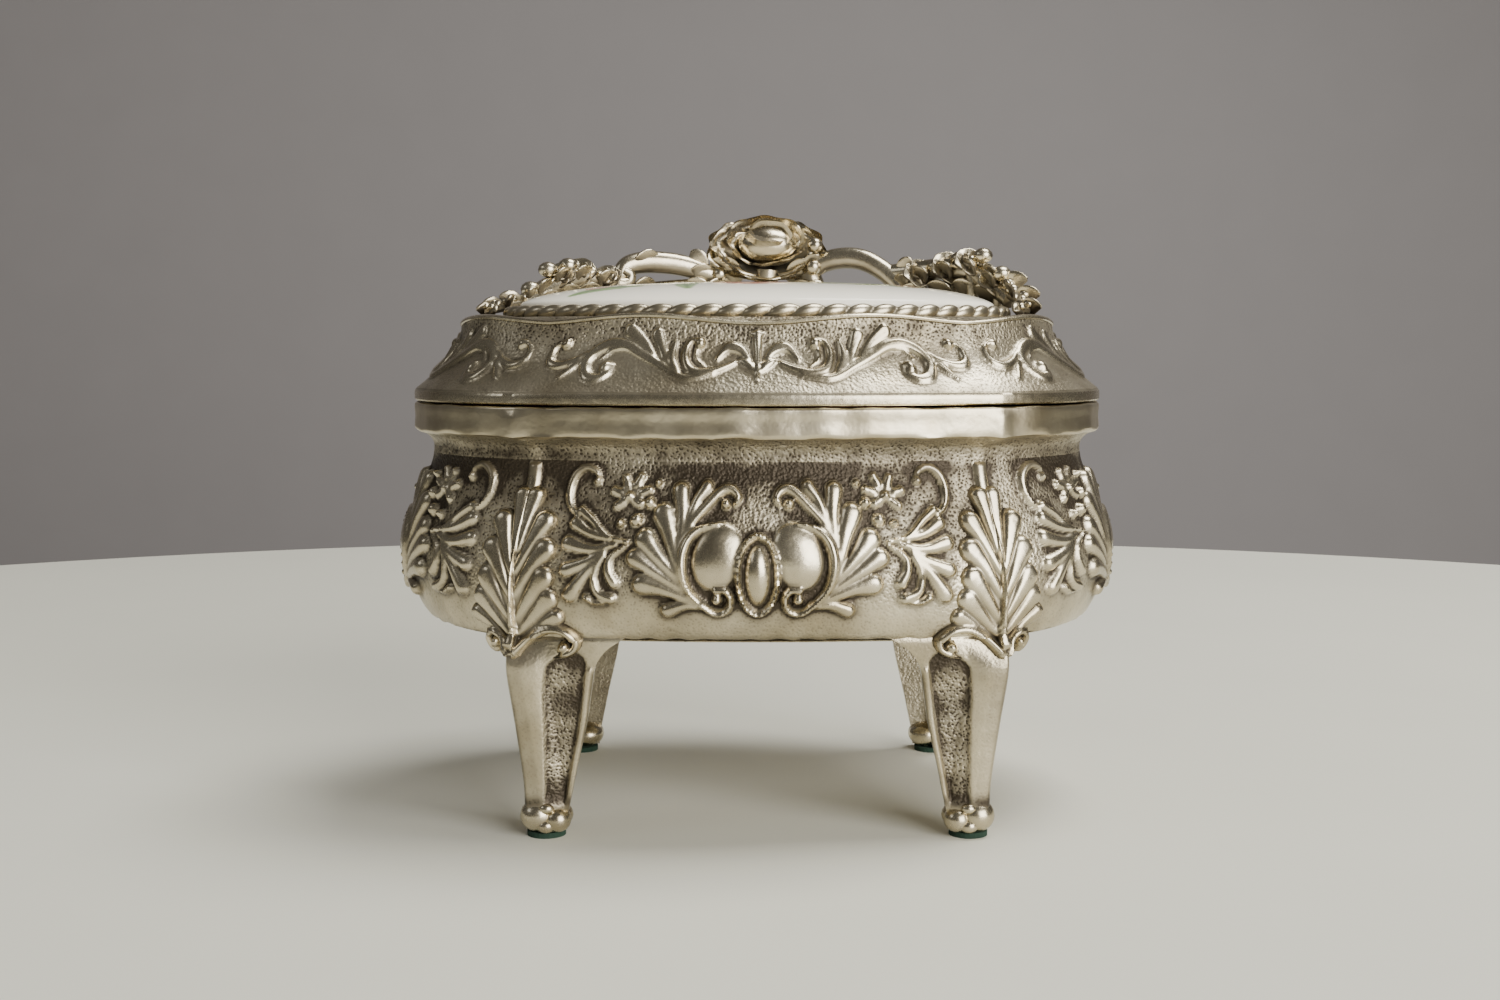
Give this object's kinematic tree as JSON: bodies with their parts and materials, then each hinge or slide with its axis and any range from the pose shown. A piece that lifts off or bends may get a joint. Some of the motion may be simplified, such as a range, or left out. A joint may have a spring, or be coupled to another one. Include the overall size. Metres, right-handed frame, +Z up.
{
  "type": "vanity trinket box",
  "caption": "Footed bombe trinket box in aged silver-plated cast metal, with a hinged lid, an oval porcelain plaque in a rope bezel and an openwork flower garland.",
  "frame": {"origin": "middle of the footprint, on the surface that the felt pads stand on", "axes": "+Z up, -Y the front, +X to the viewer's right along the length"},
  "size_m": [0.1152, 0.0788, 0.095],
  "materials": {
    "aged_silver": "aged silver plate on cast metal, dark in the recesses",
    "polished_silver": "rubbed silver plate, lightly tarnished",
    "white_porcelain": "white glaze with a small painted flower spray",
    "wine_velvet": "wine red velvet",
    "green_felt": "green felt",
    "hinge_steel": "worn steel pin and rivets"
  },
  "bodies": {
    "box": {"body_shell": "aged_silver", "base_plate": "aged_silver", "leg_front_left": "aged_silver", "leg_front_right": "aged_silver", "leg_back_left": "aged_silver", "leg_back_right": "aged_silver", "felt_pad_front_left": "green_felt", "felt_pad_front_right": "green_felt", "felt_pad_back_left": "green_felt", "felt_pad_back_right": "green_felt", "wall_lining": "wine_velvet", "base_cushion": "wine_velvet", "body_hinge_leaf": "polished_silver", "hinge_pin": "hinge_steel", "body_leaf_rivet_left": "hinge_steel", "body_leaf_rivet_right": "hinge_steel"},
    "lid": {"lid_shell": "aged_silver", "plaque_bezel": "polished_silver", "porcelain_plaque": "white_porcelain", "garland_left": "aged_silver", "garland_right": "aged_silver", "centre_rose": "aged_silver", "lid_lining": "wine_velvet", "lid_hinge_leaf": "polished_silver", "lid_leaf_rivet_left": "hinge_steel", "lid_leaf_rivet_right": "hinge_steel"}
  },
  "joints": [
    {"name": "lid_hinge", "type": "hinge", "parent": "box", "child": "lid", "pos_m": [0, 0.0381, 0.06405], "axis": [-1, 0, 0], "range_deg": [0, 100]}
  ]
}
